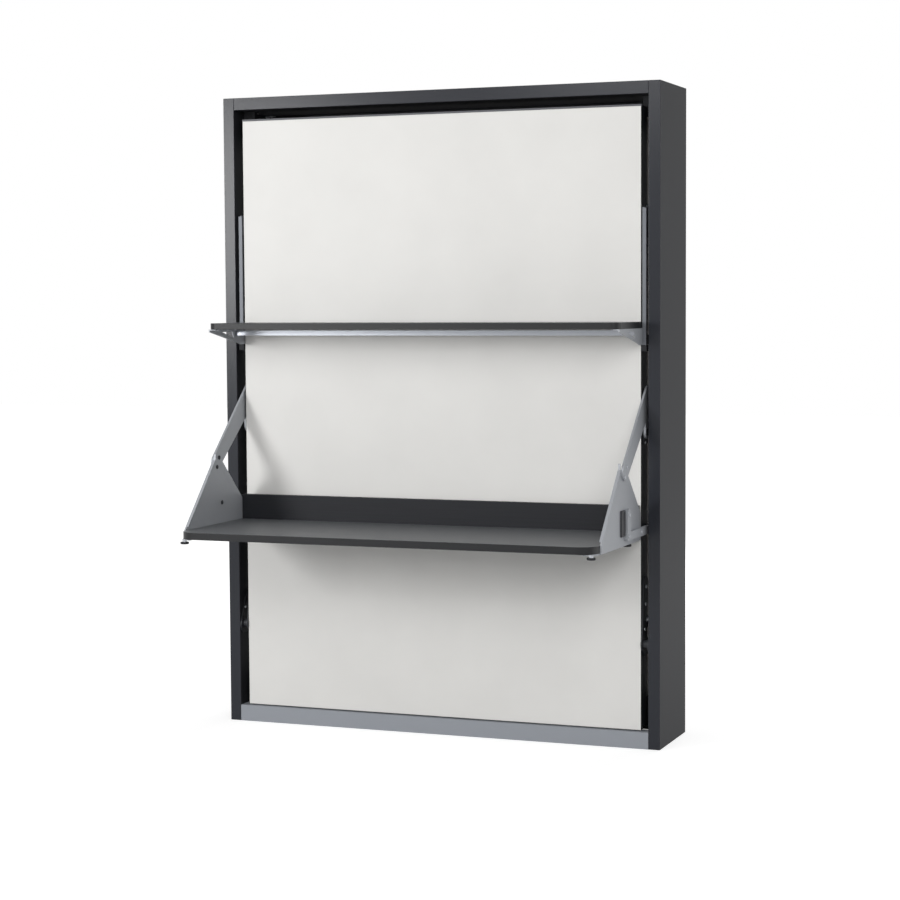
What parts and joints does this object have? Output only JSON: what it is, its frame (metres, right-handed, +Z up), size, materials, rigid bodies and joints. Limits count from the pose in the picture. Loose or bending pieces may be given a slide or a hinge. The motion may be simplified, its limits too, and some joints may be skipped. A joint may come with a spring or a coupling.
{
  "type": "wall bed with fold-down desk",
  "caption": "Upright wall bed cabinet with a white front, a levelling desk and a shelf that fold under the bed as its legs.",
  "frame": {"origin": "floor level, middle of the width, on the front plane of the cabinet, which is the underside of the base rail's front edge", "axes": "+Z up, +Y back towards the wall, +X to the right as seen from the front"},
  "size_m": [1.57, 0.825, 2.18],
  "materials": {
    "laminate_grey": "grey melamine laminate, satin",
    "laminate_white": "white melamine laminate, satin",
    "laminate_dark": "dark grey melamine laminate, satin",
    "laminate_black": "anthracite melamine laminate, satin",
    "steel_pale": "light grey powder coat",
    "steel_black": "black powder coat",
    "steel_silver": "silver-grey powder coat",
    "bright_steel": "zinc plated",
    "edge_dark": "dark edge band",
    "aluminium_rail": "anodised, satin",
    "rubber_black": "moulded rubber",
    "plastic_black": "moulded nylon",
    "beech": "clear lacquered beech",
    "ticking": "woven mattress ticking",
    "webbing": "woven webbing",
    "black_enamel": "black enamel, semi-gloss"
  },
  "bodies": {
    "cabinet": {"side_panel_left": "laminate_grey", "side_panel_right": "laminate_grey", "top_panel": "laminate_grey", "base_rail": "steel_pale", "wall_rail_upper": "laminate_grey", "wall_rail_lower": "laminate_grey", "corner_brackets": "steel_silver", "pivot_bearing_left": "steel_black", "pivot_bearing_right": "steel_black", "anchor_plate_left": "steel_black", "anchor_plate_right": "steel_black", "closing_stops": "rubber_black"},
    "bed": {"front_panel": "laminate_white", "top_edge_strip": "edge_dark", "bed_rail_left": "steel_black", "bed_rail_right": "steel_black", "bed_head_rail": "steel_black", "bed_foot_rail": "steel_black", "cross_tubes": "steel_black", "mattress_ledge": "steel_black", "slat_holders": "plastic_black", "slats": "beech", "mattress": "ticking", "mattress_straps": "webbing", "pivot_plate_left": "steel_black", "pivot_plate_right": "steel_black", "desk_hinge_left": "steel_silver", "desk_hinge_right": "steel_silver", "shelf_hinge_left": "bright_steel", "shelf_hinge_right": "bright_steel", "lever_stops": "rubber_black"},
    "desk": {"desk_top": "laminate_dark", "desk_upstand": "laminate_black", "desk_plate_left": "steel_silver", "desk_plate_right": "steel_silver", "desk_arm_left": "steel_silver", "desk_arm_right": "steel_silver", "desk_bracket_left": "steel_silver", "desk_bracket_right": "steel_silver", "desk_cross_tube": "steel_silver", "desk_foot_stems": "bright_steel", "desk_foot_pads": "rubber_black", "desk_bolts": "bright_steel"},
    "shelf": {"shelf_board": "laminate_dark", "shelf_lever_left": "steel_silver", "shelf_lever_right": "steel_silver", "shelf_gusset_left": "steel_silver", "shelf_gusset_right": "steel_silver", "shelf_rail": "aluminium_rail", "shelf_foot_pads": "rubber_black", "shelf_bolts": "bright_steel"},
    "lower_links": {"lower_link_left": "steel_black", "lower_link_right": "steel_black"},
    "upper_links": {"upper_link_left": "steel_black", "upper_link_right": "steel_black"},
    "spring_cylinders": {"spring_cylinder_left": "black_enamel", "spring_cylinder_right": "black_enamel"},
    "spring_rods": {"spring_rod_left": "bright_steel", "spring_rod_right": "bright_steel"}
  },
  "joints": [
    {"name": "bed_hinge", "type": "hinge", "parent": "cabinet", "child": "bed", "pos_m": [0, 0.025, 0.345], "axis": [1, 0, 0], "range_deg": [0, 90]},
    {"name": "desk_hinge", "type": "hinge", "parent": "bed", "child": "desk", "pos_m": [0, 0.045, 1.043], "axis": [1, 0, 0], "range_deg": [-90, 0]},
    {"name": "shelf_hinge", "type": "hinge", "parent": "bed", "child": "shelf", "pos_m": [0, 0.04, 1.665], "axis": [1, 0, 0], "range_deg": [-90, 0]},
    {"name": "lower_link_hinge", "type": "hinge", "parent": "cabinet", "child": "lower_links", "pos_m": [0, 0.08, 0.42], "axis": [1, 0, 0], "range_deg": [0, 90]},
    {"name": "upper_link_hinge", "type": "hinge", "parent": "desk", "child": "upper_links", "pos_m": [0, 0.07, 1.148], "axis": [1, 0, 0], "range_deg": [0, 90]},
    {"name": "spring_hinge", "type": "hinge", "parent": "cabinet", "child": "spring_cylinders", "pos_m": [0, 0.235, 0.325], "axis": [1, 0, 0], "range_deg": [0, 17.61]},
    {"name": "spring_slide", "type": "slide", "parent": "spring_cylinders", "child": "spring_rods", "axis": [0, -0.8708, 0.4917], "range_m": [0, 0.097]}
  ],
  "couplings": [
    {"joint": "desk_hinge", "follows": "bed_hinge", "ratio": -1},
    {"joint": "shelf_hinge", "follows": "bed_hinge", "ratio": -1},
    {"joint": "lower_link_hinge", "follows": "bed_hinge", "ratio": 1},
    {"joint": "upper_link_hinge", "follows": "bed_hinge", "ratio": 1},
    {"joint": "spring_hinge", "follows": "bed_hinge", "ratio": 0.19562},
    {"joint": "spring_slide", "follows": "bed_hinge", "m_per_rad": 0.06175}
  ]
}
